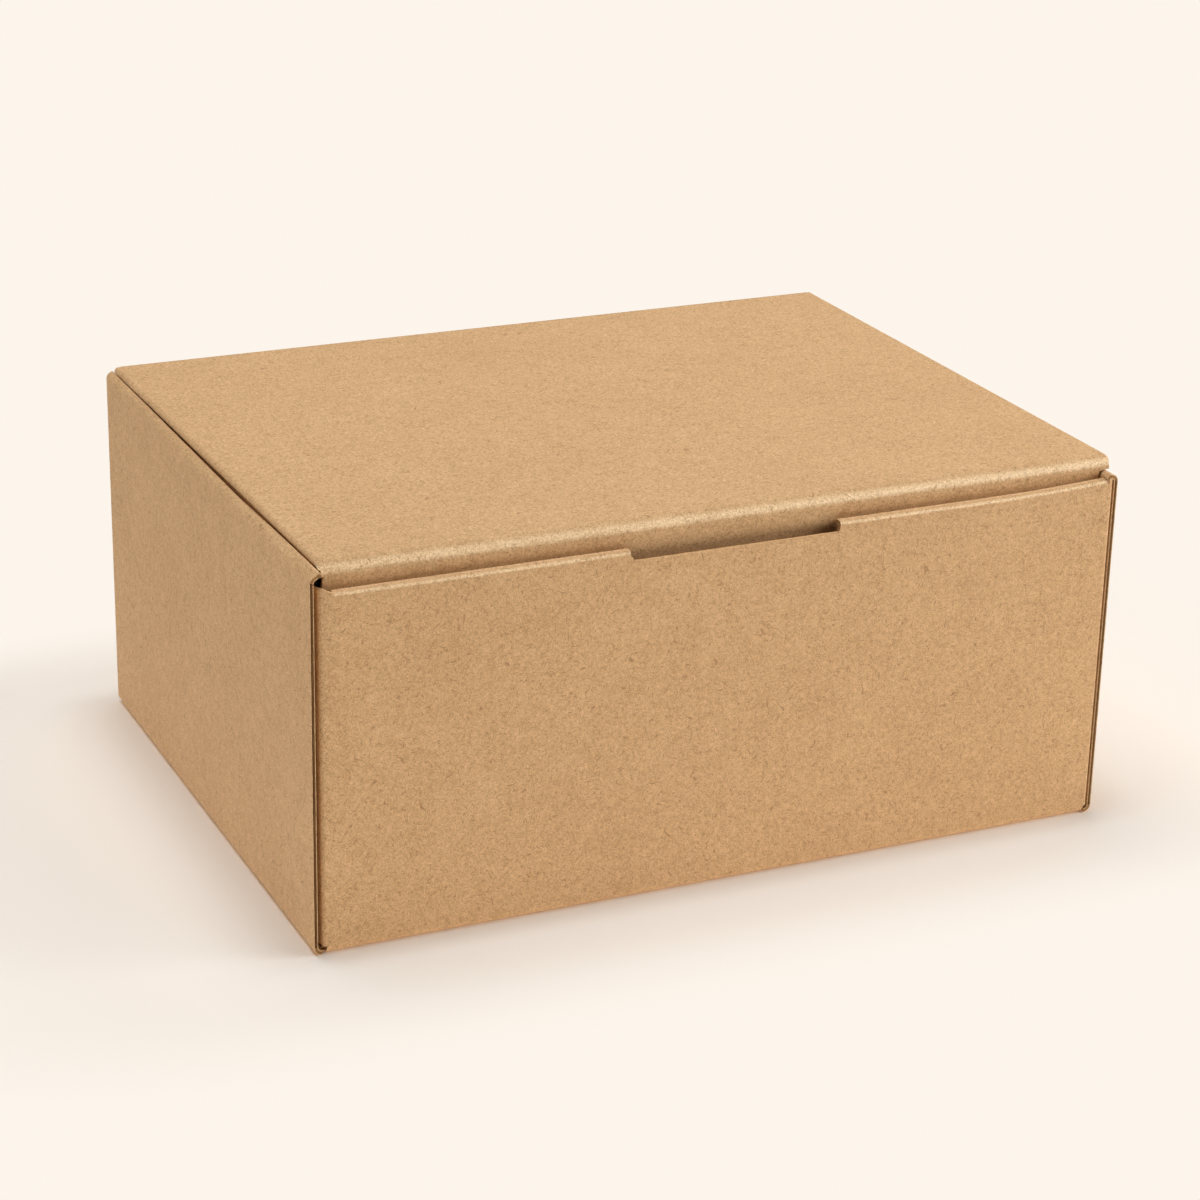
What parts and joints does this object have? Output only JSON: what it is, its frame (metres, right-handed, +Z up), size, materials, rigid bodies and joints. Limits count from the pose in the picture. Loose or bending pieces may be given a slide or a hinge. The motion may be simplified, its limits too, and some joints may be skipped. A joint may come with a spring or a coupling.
{
  "type": "cardboard mailing box",
  "caption": "Low rectangular cardboard mailing box, closed, with a tuck-in hinged lid, rolled side walls and a thumb notch in the front.",
  "frame": {"origin": "centre of the base, on the surface that the box stands on", "axes": "+X along the width, +Y from the front to the lid's hinge at the back, +Z up"},
  "size_m": [0.32, 0.243, 0.145],
  "materials": {
    "board": "matte brown linerboard, uncoated"
  },
  "bodies": {
    "tray": {"tray": "board"},
    "lid": {"lid": "board"}
  },
  "joints": [
    {"name": "lid_hinge", "type": "hinge", "parent": "tray", "child": "lid", "pos_m": [0, 0.12075, 0.14425], "axis": [-1, 0, 0], "range_deg": [0, 210]}
  ]
}
